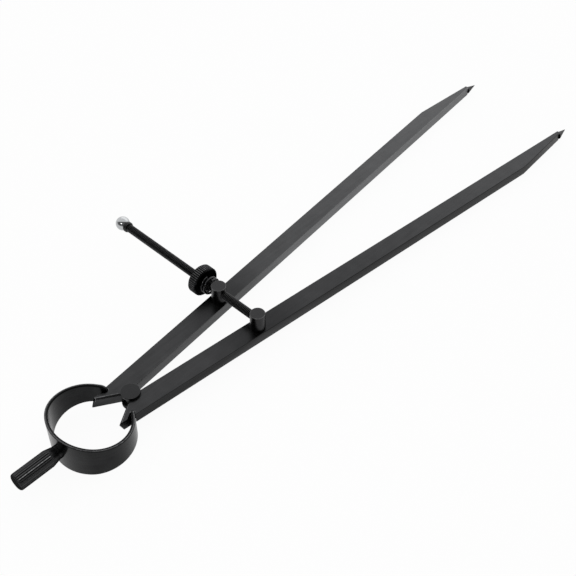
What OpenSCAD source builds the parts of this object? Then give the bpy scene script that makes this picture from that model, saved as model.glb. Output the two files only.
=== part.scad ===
// Spring dividers for scribing circles and stepping off distances.
// Two flat legs turn on a flanged stud. A bow spring presses their heads together, which spreads the points,
// and a screw with a knurled nut holds the legs at the opening that is set.
// The origin is on the fulcrum axis at the stud's lower face. +X runs to the points and +Y to the left leg.

/* [Legs] */
// Distance from the fulcrum axis to the tip of a point, along a leg
leg_len = 300; // [200:1:400]
// Width of a leg at the fulcrum
leg_w = 9.8; // [8.6:0.1:12]
// Width of a leg where its end bevel starts
leg_bevel_w = 8.9; // [7:0.1:10]
// Thickness of a leg
leg_t = 5.4; // [4:0.1:6.4]
// Gap between the inner edges when the legs lie parallel
leg_gap = 2.6; // [2:0.1:3.4]
// Length of the bevel on a leg's outer edge
bevel_len = 38.5; // [20:0.5:60]
// Width of a leg's end, where its point is set
leg_end_w = 2; // [1.8:0.1:3]
// Angle of a leg's head edge from its inner edge
head_angle = 38; // [34:0.5:44]
// Distance of the head edge's corner behind the fulcrum axis
head_setback = 1.3; // [0.8:0.1:1.8]
// How far the tip of a leg's head leans back across its thickness
tooth_lean = 2.2; // [0.4:0.1:2.8]
// Chamfer of the head edge on a leg's upper face
head_chamfer = 0.8; // [0.3:0.1:1.2]
// Half of the angle between the inner edges at rest
rest_angle = 5.85; // [2:0.05:12]

/* [Points] */
// Length of a point's cone beyond its leg
point_len = 7.5; // [5:0.5:12]
// Diameter of a point's base
point_d = 4; // [3:0.1:4.2]
// How far a point leans inwards, from its base to its tip
point_lean = 1; // [0:0.1:1.4]
// Diameter of the flat left on a tip
tip_d = 0.25; // [0.1:0.05:0.6]
// Diameter of the stem that holds a point in its leg
point_stem_d = 1; // [0.8:0.05:1.3]
// Length of that stem
point_stem_len = 6; // [3:0.5:10]

/* [Fulcrum stud] */
// Diameter of the shank that the legs turn on
stud_d = 5.6; // [4.4:0.1:6.4]
// Diameter of the flanges
flange_d = 9; // [8:0.1:10]
// Thickness of a flange
flange_t = 1.3; // [0.8:0.1:2]
// Chamfer of the flanges' outer edges
flange_edge = 0.3; // [0.1:0.05:0.5]

/* [Bow spring] */
// Thickness of the band
bow_t = 1.6; // [1.2:0.1:2.2]
// Height of the band at its back
bow_back_h = 18.6; // [14:0.2:20]
// Height of the band at its ends
bow_end_h = 10.8; // [8:0.2:12]
// How hollow the band's edges run between the two, 1 being straight
bow_hollow = 1.4; // [1.2:0.1:2.2]
// Distance from the fulcrum axis to the back of the band
bow_back_x = 40.3; // [39:0.1:43]
// Outer radius of the band at its back
bow_back_r = 22.8; // [21:0.1:24]
// Outer radius of the band at its sides
bow_side_r = 16.8; // [16:0.1:18]
// Angle from the back at which the two radii meet
bow_blend_angle = 38; // [30:1:48]
// Angle from the front at which a side arc runs out into its straight tail
bow_end_angle = 34; // [30:1:38]
// Depth of a leg's slot for the band's tail
slot_depth = 2.5; // [1.5:0.1:3]
// Angle by which the slot opens towards the head's tip, on a leg's upper face
slot_flare = 24; // [10:1:28]

/* [Handle] */
// Diameter of the grip
handle_d = 8.2; // [7.5:0.1:12]
// Length of the handle behind the band
handle_len = 22; // [16:0.1:40]
// Length of the cone between neck and grip
handle_cone = 4; // [2:0.1:6]
// Diameter of the neck
neck_d = 6.4; // [5.2:0.1:7.2]
// Length of the neck
neck_len = 1.2; // [0.8:0.1:2.5]
// Radius of the grip's end edge
handle_end_r = 1.1; // [0.4:0.1:2]
// Diameter of the tenon through the band
tenon_d = 4; // [3:0.1:5]
// Diameter of the riveted head inside the band
tenon_head_d = 6; // [5.2:0.1:7]
// Height of that head
tenon_head_h = 1.3; // [0.8:0.1:2]
// Number of flutes round the grip
flutes = 24; // [12:1:32]
// Width of a flute
flute_w = 0.62; // [0.3:0.02:0.8]

/* [Posts] */
// Distance of a post from the fulcrum axis, along its leg
post_pos = 67.6; // [50:0.2:90]
// Diameter of a post
post_d = 7.4; // [6.4:0.1:8.4]
// Height of a post above its leg
post_h = 9.1; // [8:0.1:12]
// Chamfer of a post's top edge
post_edge = 0.35; // [0.1:0.05:0.8]
// Diameter of a post's stem through its leg
stem_d = 4.4; // [3.4:0.1:5]
// Diameter of the washer under a leg
washer_d = 7; // [6.4:0.1:8.4]
// Thickness of the washer
washer_t = 0.8; // [0.5:0.1:1.2]
// Diameter of the stem's riveted head
rivet_d = 5.8; // [5.4:0.1:6.4]
// Height of the riveted head
rivet_h = 0.9; // [0.5:0.1:1.4]

/* [Screw, nut and ball] */
// Diameter of the screw over its thread
screw_d = 4.2; // [3.6:0.1:4.8]
// Height of the screw's axis above a leg's face
screw_h = 5.1; // [5:0.1:6]
// Distance from the right post's axis to the centre of the ball
screw_reach = 96; // [70:0.5:130]
// Diameter of the screw's turned-down ends
spigot_d = 3; // [2.4:0.1:3.2]
// Depth of the screw's seat past the right post's axis
seat_depth = 2.2; // [1:0.1:2.6]
// Diameter of the stop collar
collar_d = 5.5; // [5:0.1:6.4]
// Thickness of the stop collar
collar_t = 2; // [1.2:0.1:3]
// Diameter of the ball
ball_d = 7.2; // [6.2:0.1:9]
// Diameter of the flat on the ball where the collar meets it
ball_flat_d = 4.2; // [3.6:0.1:5]
// Depth of the screw's end in the ball, from that flat
ball_seat = 3.4; // [2:0.1:4.2]
// Diameter of the nut
nut_d = 15; // [12:0.2:16]
// Thickness of the nut
nut_t = 5.2; // [3.5:0.1:7]
// Chamfer of the nut's rim
nut_edge = 0.6; // [0.3:0.05:1]
// Diameter of the recess turned in the nut's outer face
nut_recess_d = 9; // [7:0.2:10.4]
// Depth of that recess
nut_recess = 0.5; // [0.2:0.1:1]
// Number of knurl grooves round the nut
nut_grooves = 44; // [24:1:48]
// Width of a knurl groove
groove_w = 0.66; // [0.4:0.02:0.74]

/* [Nut spring] */
// Outside diameter of the coil
spring_d = 9.4; // [8.4:0.1:10.4]
// Diameter of the wire
wire_d = 1.3; // [0.9:0.05:1.5]
// Turns of the coil
spring_turns = 2; // [1.5:0.1:4]
// Open gap between two turns
turn_gap = 0.5; // [0.5:0.05:1]

/* [Fits] */
// Clearance of pieces that turn or slide on each other
fit_gap = 0.05; // [0.02:0.01:0.1]
// Clearance of the band's tail in its slot, on each side
slot_gap = 0.3; // [0.1:0.05:0.4]

/* [Hidden] */
$fn = 96;

// Cuts run this far past the faces that they open
past = 1;
black = "#35373b";
dark = "#2b2c30";
steel = "#7d8085";
chrome = "#d5d8dc";

// Heights: the legs lie between the stud's flanges
leg_z = flange_t + fit_gap + leg_t / 2;
stud_h = 2 * (flange_t + fit_gap) + leg_t;
face_z = leg_z + leg_t / 2;
screw_z = face_z + screw_h;

// A leg's outline, along its inner edge from the fulcrum
inner_y = leg_gap / 2;
leg_end_x = leg_len - point_len;
bevel_x = leg_end_x - bevel_len;
taper = (leg_bevel_w - leg_w) / bevel_x;
function outer_y(x) = inner_y + leg_w + taper * x;
head_run = (leg_w - taper * head_setback) / (sin(head_angle) + taper * cos(head_angle));
tooth_tip = [-head_setback - head_run * cos(head_angle), inner_y + head_run * sin(head_angle)];
post_leg_xy = [post_pos, (inner_y + outer_y(post_pos)) / 2];
point_y = inner_y + leg_end_w / 2;

// Places of the posts, with the legs at rest
function turned(p, a) = [p[0] * cos(a) - p[1] * sin(a), p[0] * sin(a) + p[1] * cos(a)];
post_xy = turned(post_leg_xy, rest_angle);

// The band's arcs: one round the back and one along each side
back_c = [bow_back_r - bow_back_x, 0];
side_c = back_c + (bow_back_r - bow_side_r) * [-cos(bow_blend_angle), sin(bow_blend_angle)];
mid_side_r = bow_side_r - bow_t / 2;

// A tail leaves its arc along the tangent and ends in its leg's slot
tail_start = side_c + mid_side_r * [cos(bow_end_angle), sin(bow_end_angle)];
tail_turn = bow_end_angle - 90;
tail_dir = [cos(tail_turn), sin(tail_turn)];
start_on_leg = turned(tail_start, -rest_angle);
dir_on_leg = turned(tail_dir, -rest_angle);
mouth_run = (start_on_leg[1] - outer_y(start_on_leg[0])) / (taper * dir_on_leg[0] - dir_on_leg[1]);
slot_run = mouth_run + slot_depth;
tail_run = slot_run - slot_gap;

// The slot's wall on the head's side leans, from the flare on the upper face to a straight slot on the lower one
slot_half_w = bow_t / 2 + slot_gap;
edge_turn = atan(taper) + rest_angle - tail_turn;
wall_run = slot_depth + slot_half_w / tan(edge_turn);
flare_lean = atan(wall_run * sin(slot_flare) / leg_t);

// The band narrows along a hollow curve from its back to its tails
relief_x = tail_start[0] + bow_t / 2 * cos(bow_end_angle);
relief_run = bow_back_x + relief_x;
relief_steps = 12;
function band_half_h(t) = (bow_end_h + (bow_back_h - bow_end_h) * pow(t, bow_hollow)) / 2;
blank_h = bow_back_h + 2 * past;

// A tail's end is rounded off, down to the level of the leg's faces
corner_r = (bow_end_h - leg_t) / 2;
corner_steps = 8;

// Along the screw, from the left post outwards
spring_start = post_d / 2 + fit_gap;
turn_pitch = wire_d + turn_gap;
spring_len = spring_turns * turn_pitch + wire_d;
nut_start = spring_start + spring_len + fit_gap;

// Along the screw, from the right post outwards
flat_depth = ball_d / 2 - sqrt(pow(ball_d / 2, 2) - pow(ball_flat_d / 2, 2));
ball_face = screw_reach - ball_d / 2 + flat_depth;
collar_start = ball_face - collar_t;

// Puts what is drawn along the left leg's inner edge on that leg, or turned over on the right one
module on_leg(side) {
  translate([0, 0, leg_z]) rotate([side < 0 ? 180 : 0, 0, 0]) rotate([0, 0, rest_angle]) children();
}

// Puts what is drawn on a post's axis, from the leg's face up, on the left or the right leg
module on_post(side) {
  translate([post_xy[0], side * post_xy[1], face_z]) children();
}

// Puts what is drawn along +Z on the screw's axis, outwards from the left or the right post
module on_screw(side) {
  translate([post_xy[0], side * post_xy[1], screw_z]) rotate([-90, 0, 0]) children();
}

// V-shaped grooves along +Z, spaced round a rim of radius r
module grooves(count, r, width, from, to) {
  for (i = [0 : count - 1])
    rotate([0, 0, (i + 0.5) * 360 / count])
      translate([r, 0, from])
        rotate([0, 0, 45])
          translate([-width / sqrt(8), -width / sqrt(8), 0])
            cube([width / sqrt(2), width / sqrt(2), to - from]);
}

// A round bar with chamfered ends along +Z
module turned_bar(d, h, low_edge, high_edge) {
  rotate_extrude()
    polygon([[0, 0], [d / 2 - low_edge, 0], [d / 2, low_edge], [d / 2, h - high_edge],
             [d / 2 - high_edge, h], [0, h]]);
}

// One stretch of the band, with its outer radius, centre and angles
module band_arc(r, centre, from, to) {
  translate([centre[0], centre[1], leg_z - blank_h / 2])
    rotate([0, 0, from])
      rotate_extrude(angle = to - from)
        translate([r - bow_t, 0])
          square([bow_t, blank_h]);
}

// Puts what is drawn along +X on the left tail, from the end of its arc
module on_tail() {
  translate([tail_start[0], tail_start[1], leg_z]) rotate([0, 0, tail_turn]) children();
}

// The straight stretch of a tail
module tail_bar() {
  on_tail() translate([0, -bow_t / 2, -blank_h / 2]) cube([tail_run, bow_t, blank_h]);
}

// What is cut away above a tail's end, seen from the side
module corner_outline() {
  round_start = tail_run - corner_r;
  curve = [for (i = [0 : corner_steps])
    [round_start, leg_t / 2] + corner_r * [sin(90 * i / corner_steps), cos(90 * i / corner_steps)]];
  polygon(concat(curve, [[tail_run + past, leg_t / 2], [tail_run + past, blank_h], [round_start, blank_h]]));
}

// A leg's slot for a tail
module tail_slot() {
  reach = 2 * slot_run;
  on_tail() {
    translate([0, -slot_half_w, -leg_t / 2 - past]) cube([slot_run, 2 * slot_half_w, leg_t + 2 * past]);
    // Leaning wall towards the head's tip
    translate([slot_run, -slot_half_w, 0])
      intersection() {
        translate([0, 0, -leg_t / 2 - past])
          linear_extrude(leg_t + 2 * past)
            polygon([[0, 0], [-reach * cos(slot_flare), 0], reach * [-cos(slot_flare), -sin(slot_flare)]]);
        translate([0, 0, leg_t / 2])
          rotate([flare_lean, 0, slot_flare])
            translate([-2 * reach, 0, -2 * reach])
              cube(4 * reach);
      }
  }
}

module leg_outline() {
  polygon([[-head_setback, inner_y], [leg_end_x, inner_y], [leg_end_x, inner_y + leg_end_w],
           [bevel_x, inner_y + leg_bevel_w], tooth_tip]);
}

module leg(side) {
  difference() {
    on_leg(side) {
      difference() {
        translate([0, 0, -leg_t / 2]) linear_extrude(leg_t) leg_outline();
        // Half-round notch that bears on the stud
        cylinder(d = stud_d + 2 * fit_gap, h = leg_t + 2 * past, center = true);
        // Hole for the post's stem
        translate([post_leg_xy[0], post_leg_xy[1], 0])
          cylinder(d = stem_d + 2 * fit_gap, h = leg_t + 2 * past, center = true);
        // Leaning end of the tooth behind the slot
        translate([tooth_tip[0], tooth_tip[1], -leg_t / 2])
          rotate([0, atan(tooth_lean / leg_t), 0])
            translate([-leg_w, -leg_w, -past])
              cube([leg_w, 2 * leg_w, 2 * leg_t + past]);
        // Chamfer of the head edge, on the face that lies upwards
        mirror([0, 0, side < 0 ? 1 : 0])
          translate([-head_setback, inner_y, leg_t / 2])
            rotate([0, 0, 180 - head_angle])
              rotate([90, 0, 90])
                linear_extrude(head_run + past)
                  polygon(head_chamfer * [[-2, 1], [1, -2], [1, 1]]);
        // Socket for the point's stem
        translate([leg_end_x - point_stem_len, point_y, 0])
          rotate([0, 90, 0])
            cylinder(d = point_stem_d, h = point_stem_len + past);
      }
    }
    // Slot for the band's tail
    mirror([0, side < 0 ? 1 : 0, 0]) tail_slot();
  }
}

module point(side) {
  on_leg(side) {
    // A leaning cone, cut square where it meets the leg's end
    intersection() {
      translate([leg_end_x, point_y, 0])
        rotate([0, 0, -atan(point_lean / point_len)])
          rotate([0, 90, 0])
            translate([0, 0, -past])
              cylinder(d1 = point_d + (point_d - tip_d) * past / point_len, d2 = tip_d, h = point_len + past);
      translate([leg_end_x, point_y - point_d, -point_d])
        cube([point_len + past, 2 * point_d, 2 * point_d]);
    }
    translate([leg_end_x - point_stem_len, point_y, 0])
      rotate([0, 90, 0])
        cylinder(d = point_stem_d, h = point_stem_len);
  }
}

module post_body() {
  turned_bar(post_d, post_h - fit_gap, 0, post_edge);
  // Stem through the leg and its washer, riveted over below
  translate([0, 0, -leg_t - washer_t - 3 * fit_gap]) {
    cylinder(d = stem_d, h = leg_t + washer_t + 3 * fit_gap);
    rotate([180, 0, 0]) turned_bar(rivet_d, rivet_h, 0, rivet_h / 2);
  }
}

module post_washer(side, tone) {
  color(tone)
    on_post(side)
      translate([0, 0, -leg_t - fit_gap - washer_t])
        difference() {
          cylinder(d = washer_d, h = washer_t);
          translate([0, 0, -past]) cylinder(d = stem_d, h = washer_t + 2 * past);
        }
}

module fulcrum_stud() {
  color(black) {
    turned_bar(flange_d, flange_t, flange_edge, 0);
    cylinder(d = stud_d, h = stud_h);
    translate([0, 0, stud_h - flange_t]) turned_bar(flange_d, flange_t, 0, flange_edge);
  }
}

module band_blank() {
  band_arc(bow_back_r, back_c, 180 - bow_blend_angle, 180 + bow_blend_angle);
  for (m = [0, 1])
    mirror([0, m, 0]) {
      band_arc(bow_side_r, side_c, bow_end_angle, 180 - bow_blend_angle);
      tail_bar();
    }
}

// What is cut away above the band, seen from the side
module relief_outline() {
  curve = [for (i = [0 : relief_steps + 1]) [-relief_run * i / relief_steps, band_half_h(i / relief_steps)]];
  top = [[-relief_run - bow_t, blank_h], [bow_back_x, blank_h], [bow_back_x, band_half_h(0)]];
  polygon(concat(top, curve));
}

module bow_spring() {
  color(black)
    difference() {
      band_blank();
      // Hollow upper and lower edges
      for (m = [0, 1])
        translate([relief_x, 0, leg_z])
          mirror([0, 0, m])
            rotate([90, 0, 0])
              linear_extrude(4 * bow_back_r, center = true)
                relief_outline();
      // Rounded corners of the tails
      for (m = [0, 1], n = [0, 1])
        mirror([0, m, 0])
          on_tail()
            mirror([0, 0, n])
              rotate([90, 0, 0])
                linear_extrude(4 * bow_t, center = true)
                  corner_outline();
      // Hole for the handle's tenon
      translate([-bow_back_x - past, 0, leg_z])
        rotate([0, 90, 0])
          cylinder(d = tenon_d, h = bow_t + 2 * past);
    }
}

// The handle's outline along its axis, from the back of the band outwards
module handle_profile() {
  grip_x = neck_len + handle_cone;
  polygon([[-past, 0], [-past, neck_d / 2], [neck_len, neck_d / 2], [grip_x, handle_d / 2],
           [handle_len - handle_end_r, handle_d / 2], [handle_len - handle_end_r, 0]]);
  translate([handle_len - handle_end_r, 0]) square([handle_end_r, handle_d / 2 - handle_end_r]);
  translate([handle_len - handle_end_r, handle_d / 2 - handle_end_r])
    intersection() {
      circle(r = handle_end_r);
      square(handle_end_r);
    }
}

// The round of the band's back, seen from the handle, which stands along +Z
module band_back_round(r, h) {
  translate([0, 0, -bow_back_r]) rotate([0, 90, 0]) cylinder(r = r, h = h, center = true);
}

module handle() {
  color(black)
    translate([-bow_back_x, 0, leg_z])
      rotate([0, -90, 0]) {
        difference() {
          rotate_extrude() rotate([0, 0, 90]) mirror([0, 1, 0]) handle_profile();
          grooves(flutes, handle_d / 2, flute_w, neck_len, handle_len + past);
          // The neck's foot fits the round of the band's back
          band_back_round(bow_back_r, 2 * neck_d);
        }
        // Tenon, and its head riveted over inside the band
        translate([0, 0, -bow_t - tenon_head_h / 2])
          cylinder(d = tenon_d, h = tenon_head_h / 2 + bow_t + neck_len);
        intersection() {
          translate([0, 0, -bow_t - tenon_head_h])
            turned_bar(tenon_head_d, tenon_head_h + past, tenon_head_h / 2, 0);
          band_back_round(bow_back_r - bow_t, 2 * tenon_head_d);
        }
      }
}

module left_leg() { color(black) leg(1); }

module right_leg() { color(black) leg(-1); }

module left_point() { color(steel) point(1); }

module right_point() { color(steel) point(-1); }

module left_post() {
  color(dark)
    difference() {
      on_post(1) translate([0, 0, fit_gap]) post_body();
      // Cross hole that slides along the screw
      on_screw(1) cylinder(d = screw_d + 4 * fit_gap, h = 2 * post_d, center = true);
    }
}

module right_post() {
  color(dark)
    difference() {
      on_post(-1) translate([0, 0, fit_gap]) post_body();
      // Blind cross hole that holds the screw's end
      on_screw(-1) translate([0, 0, -seat_depth]) cylinder(d = spigot_d, h = seat_depth + post_d);
    }
}

module left_post_washer() { post_washer(1, steel); }

module right_post_washer() { post_washer(-1, steel); }

module adjusting_screw() {
  color(dark)
    on_screw(-1) {
      translate([0, 0, -seat_depth]) cylinder(d = spigot_d, h = seat_depth + post_d / 2 + past);
      translate([0, 0, post_d / 2 + fit_gap]) cylinder(d = screw_d, h = collar_start - post_d / 2 - fit_gap);
      translate([0, 0, collar_start - past]) cylinder(d = spigot_d, h = past + collar_t + ball_seat);
    }
}

module stop_collar() {
  color(black)
    on_screw(-1)
      translate([0, 0, collar_start])
        difference() {
          turned_bar(collar_d, collar_t, collar_t / 6, collar_t / 6);
          translate([0, 0, -past]) cylinder(d = spigot_d, h = collar_t + 2 * past);
        }
}

module ball_end() {
  color(chrome)
    on_screw(-1)
      difference() {
        translate([0, 0, screw_reach]) sphere(d = ball_d);
        translate([0, 0, ball_face - ball_d]) cylinder(d = 2 * ball_d, h = ball_d);
        translate([0, 0, ball_face - past]) cylinder(d = spigot_d, h = ball_seat + past);
      }
}

module adjusting_nut() {
  color(dark)
    on_screw(1)
      translate([0, 0, nut_start])
        difference() {
          turned_bar(nut_d, nut_t, nut_edge, nut_edge);
          grooves(nut_grooves, nut_d / 2, groove_w, -past, nut_t + past);
          translate([0, 0, nut_t - nut_recess]) cylinder(d = nut_recess_d, h = nut_recess + past);
          translate([0, 0, -past]) cylinder(d = screw_d + 2 * fit_gap, h = nut_t + 2 * past);
        }
}

// The coil, as one tube of round wire wound along +Z
curl_rings = 8;
wire_sides = 6;
ring_count = ceil(spring_turns * curl_rings);
coil_r = (spring_d - wire_d) / 2;
coil_lead = atan(turn_pitch / (2 * PI * coil_r));
function coil_angle(i) = spring_turns * 360 * i / ring_count;
function coil_centre(i) =
  [coil_r * cos(coil_angle(i)), coil_r * sin(coil_angle(i)),
   wire_d / 2 + spring_turns * turn_pitch * i / ring_count];
function coil_point(i, k) =
  let (a = coil_angle(i), b = k * 360 / wire_sides, out = wire_d / 2 * cos(b), up = wire_d / 2 * sin(b))
  coil_centre(i) + [out * cos(a) + up * sin(coil_lead) * sin(a), out * sin(a) - up * sin(coil_lead) * cos(a),
                    up * cos(coil_lead)];
coil_points = [for (i = [0 : ring_count]) for (k = [0 : wire_sides - 1]) coil_point(i, k)];
function ring_at(i, k) = i * wire_sides + k % wire_sides;
coil_faces = concat(
  [for (i = [0 : ring_count - 1]) for (k = [0 : wire_sides - 1])
    [ring_at(i, k), ring_at(i + 1, k), ring_at(i, k + 1)]],
  [for (i = [0 : ring_count - 1]) for (k = [0 : wire_sides - 1])
    [ring_at(i, k + 1), ring_at(i + 1, k), ring_at(i + 1, k + 1)]],
  [for (k = [1 : wire_sides - 2]) [ring_at(0, 0), ring_at(0, k), ring_at(0, k + 1)]],
  [for (k = [1 : wire_sides - 2])
    [ring_at(ring_count, 0), ring_at(ring_count, k + 1), ring_at(ring_count, k)]]);
coil_gap = min([for (i = [0 : ring_count]) for (j = [i + curl_rings / 2 : ring_count])
  norm(coil_centre(i) - coil_centre(j)) - wire_d]);
echo(str("Least gap between turns of the nut spring, mm: ", coil_gap));

module nut_spring() {
  color(steel)
    on_screw(1)
      translate([0, 0, spring_start])
        rotate([0, 0, -90])
          polyhedron(coil_points, coil_faces);
}

fulcrum_stud();
bow_spring();
handle();
left_leg();
right_leg();
left_point();
right_point();
left_post();
right_post();
left_post_washer();
right_post_washer();
adjusting_screw();
stop_collar();
ball_end();
adjusting_nut();
nut_spring();
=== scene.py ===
"""Looks of a pair of spring dividers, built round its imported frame."""

import math

import bmesh
import bpy
from bpy.props import FloatProperty, FloatVectorProperty, IntProperty, PointerProperty
from mathutils import Matrix, Vector
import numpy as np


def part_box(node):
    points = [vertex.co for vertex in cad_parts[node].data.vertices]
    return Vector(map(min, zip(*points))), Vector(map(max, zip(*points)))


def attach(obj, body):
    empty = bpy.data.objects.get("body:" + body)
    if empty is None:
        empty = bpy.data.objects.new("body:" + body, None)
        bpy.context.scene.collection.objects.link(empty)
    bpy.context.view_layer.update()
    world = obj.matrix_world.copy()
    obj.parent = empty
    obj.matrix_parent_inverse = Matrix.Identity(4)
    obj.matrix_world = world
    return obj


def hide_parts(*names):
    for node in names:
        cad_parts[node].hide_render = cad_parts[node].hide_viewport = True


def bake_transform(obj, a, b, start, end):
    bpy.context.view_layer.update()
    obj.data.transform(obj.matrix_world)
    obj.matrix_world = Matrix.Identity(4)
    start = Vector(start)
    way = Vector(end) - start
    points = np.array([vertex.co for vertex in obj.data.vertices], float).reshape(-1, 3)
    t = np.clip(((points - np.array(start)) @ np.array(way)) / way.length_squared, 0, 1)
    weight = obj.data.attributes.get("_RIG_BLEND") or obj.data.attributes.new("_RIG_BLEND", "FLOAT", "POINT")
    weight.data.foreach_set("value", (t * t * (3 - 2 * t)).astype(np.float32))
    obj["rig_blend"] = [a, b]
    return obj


bl_info = {
    "name": "Spring Dividers",
    "version": (1, 0, 0),
    "blender": (4, 5, 0),
    "location": "View3D > Sidebar > Dividers",
    "description": "Builds black steel spring dividers with a bow, a screw and a knurled nut",
    "category": "Add Mesh",
}

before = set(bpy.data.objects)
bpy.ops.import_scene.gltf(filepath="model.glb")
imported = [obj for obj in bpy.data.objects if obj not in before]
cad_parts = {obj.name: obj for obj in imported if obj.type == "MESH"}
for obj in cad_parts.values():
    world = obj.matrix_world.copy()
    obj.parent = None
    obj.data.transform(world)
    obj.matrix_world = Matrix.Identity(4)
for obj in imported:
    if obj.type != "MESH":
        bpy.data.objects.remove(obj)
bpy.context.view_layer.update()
LEG_LOW, LEG_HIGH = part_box("left_leg")
STUD_LOW, STUD_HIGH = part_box("fulcrum_stud")
LEG_MID_Z = (LEG_LOW.z + LEG_HIGH.z) / 2
FULL_TURN = 2 * math.pi
QUARTER_TURN = math.pi / 2
MERGE = 1e-7
# Each point's mark: above zero for wear and painted highlights, below zero for painted shade.
WEAR = "edge_wear"
SIDES = {"left": 1, "right": -1}
WHITE = (1, 1, 1, 1)
GROOVE_STEPS = 8
RIVET_ROUND = 0.6


# Kinds of setting


def length(name, description, default):
    return FloatProperty(name=name, description=description, default=default, min=0.0, precision=6,
                         unit="LENGTH")


def angle(name, description, degrees):
    return FloatProperty(name=name, description=description, default=math.radians(degrees), subtype="ANGLE")


def amount(name, description, default):
    return FloatProperty(name=name, description=description, default=default, min=0.0, subtype="FACTOR")


def power(name, description, default):
    return FloatProperty(name=name, description=description, default=default, min=0.0, unit="POWER")


def count(name, description, default):
    return IntProperty(name=name, description=description, default=default, min=1)


def tone(name, description, default):
    return FloatVectorProperty(name=name, description=description, default=default, size=3, min=0.0, max=1.0,
                               subtype="COLOR")


def place(name, description, default):
    return FloatVectorProperty(name=name, description=description, default=default, size=3, precision=5,
                               subtype="TRANSLATION", unit="LENGTH")


class LegSizes(bpy.types.PropertyGroup):
    """Sizes of the two flat legs"""

    length: length("Length", "From the fulcrum axis to the tip of a point", 0.300)
    width: length("Width", "Width at the fulcrum", 0.0098)
    bevel_width: length("Width at the bevel", "Width where the end bevel starts", 0.0089)
    thickness: length("Thickness", "Thickness of the bar", LEG_HIGH.z - LEG_LOW.z)
    gap: length("Gap", "Gap between the inner edges when the legs lie parallel", 0.0026)
    bevel_length: length("Bevel length", "Length of the bevel on the outer edge", 0.0385)
    end_width: length("End width", "Width of the end that holds the point", 0.002)
    head_angle: angle("Head angle", "Angle of the head edge from the inner edge", 38)
    head_setback: length("Head setback", "Corner of the head edge behind the fulcrum axis", 0.0013)
    head_chamfer: length("Head chamfer", "Chamfer of the head edge on the upper face", 0.0008)
    tooth_lean: length("Tooth lean", "How far the head's tip leans back across the thickness", 0.0022)
    spread: angle("Spread", "Angle of a leg from the middle line at rest", 5.85)
    notch: length("Notch", "Radius of the notch that bears on the stud", 0.00285)
    slot_width: length("Slot width", "Width of the slot for the bow's tail", 0.0018)
    slot_depth: length("Slot depth", "Depth of that slot below the outer edge", 0.0025)
    slot_flare: angle("Slot flare", "Angle by which the slot opens on the upper face", 24)
    edge: length("Edge", "Radius of the broken edges", 0.00028)


class PointSizes(bpy.types.PropertyGroup):
    """Sizes of the two set-in points"""

    length: length("Length", "Length of the cone beyond its leg", 0.0075)
    diameter: length("Diameter", "Diameter of the cone's base", 0.004)
    lean: length("Lean", "How far the cone leans inwards", 0.001)
    tip: length("Tip", "Diameter of the flat on the tip", 0.00025)


class StudSizes(bpy.types.PropertyGroup):
    """Sizes of the spool that the legs turn on"""

    shank: length("Shank", "Diameter between the flanges", 0.0056)
    flange: length("Flange", "Diameter of the flanges", 0.009)
    flange_thickness: length("Flange thickness", "Thickness of a flange", 0.0013)
    height: length("Height", "Height over both flanges", STUD_HIGH.z - STUD_LOW.z)
    edge: length("Edge", "Radius of the flanges' edges", 0.0003)


class BowSizes(bpy.types.PropertyGroup):
    """Sizes of the bow spring"""

    thickness: length("Thickness", "Thickness of the band", 0.0016)
    back_height: length("Back height", "Height of the band at its back", 0.0186)
    end_height: length("End height", "Height of the band at its tails", 0.0108)
    hollow: amount("Hollow", "How hollow the edges run, 1 being straight", 1.4)
    back_distance: length("Back distance", "From the fulcrum axis to the band's back", 0.0403)
    back_radius: length("Back radius", "Outer radius at the back", 0.0228)
    side_radius: length("Side radius", "Outer radius at the sides", 0.0168)
    blend_angle: angle("Blend angle", "Angle from the back at which the radii meet", 38)
    end_angle: angle("End angle", "Angle from the front at which a tail starts", 34)
    end_gap: length("End gap", "Gap between a tail's end and its slot", 0.0003)
    edge: length("Edge", "Radius of the band's long edges", 0.0004)


class HandleSizes(bpy.types.PropertyGroup):
    """Sizes of the fluted handle"""

    diameter: length("Diameter", "Diameter of the grip", 0.0082)
    length: length("Length", "Length behind the band", 0.022)
    cone: length("Cone", "Length of the cone between neck and grip", 0.004)
    neck: length("Neck", "Diameter of the neck", 0.0064)
    neck_length: length("Neck length", "Length of the neck", 0.0012)
    end_radius: length("End radius", "Radius of the grip's end edge", 0.0011)
    rivet: length("Rivet", "Diameter of the riveted head inside the band", 0.006)
    rivet_height: length("Rivet height", "Height of that head", 0.0013)
    flutes: count("Flutes", "Flutes round the grip", 24)
    flute_width: length("Flute width", "Width of a flute", 0.00062)
    # One flute's crest is left bright here: a painted highlight.
    rubbed_flute: angle("Rubbed flute", "Where the handle is rubbed bright, turned from its top", -30)


class PostSizes(bpy.types.PropertyGroup):
    """Sizes of the posts and of their washers"""

    position: length("Position", "From the fulcrum axis, along the leg", 0.0676)
    diameter: length("Diameter", "Diameter of a post", 0.0074)
    height: length("Height", "Height above the leg", 0.0091)
    edge: length("Edge", "Radius of the top edge", 0.00035)
    stem: length("Stem", "Diameter of the stem through the leg", 0.0044)
    hole: length("Hole", "Diameter of the left post's cross hole", 0.0044)
    washer: length("Washer", "Diameter of the washer below the leg", 0.007)
    washer_thickness: length("Washer thickness", "Thickness of that washer", 0.0008)
    rivet: length("Rivet", "Diameter of the stem's riveted head", 0.0058)
    rivet_height: length("Rivet height", "Height of that head", 0.0009)
    clearance: length("Clearance", "Clearance between pieces that turn", 0.00005)


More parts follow.
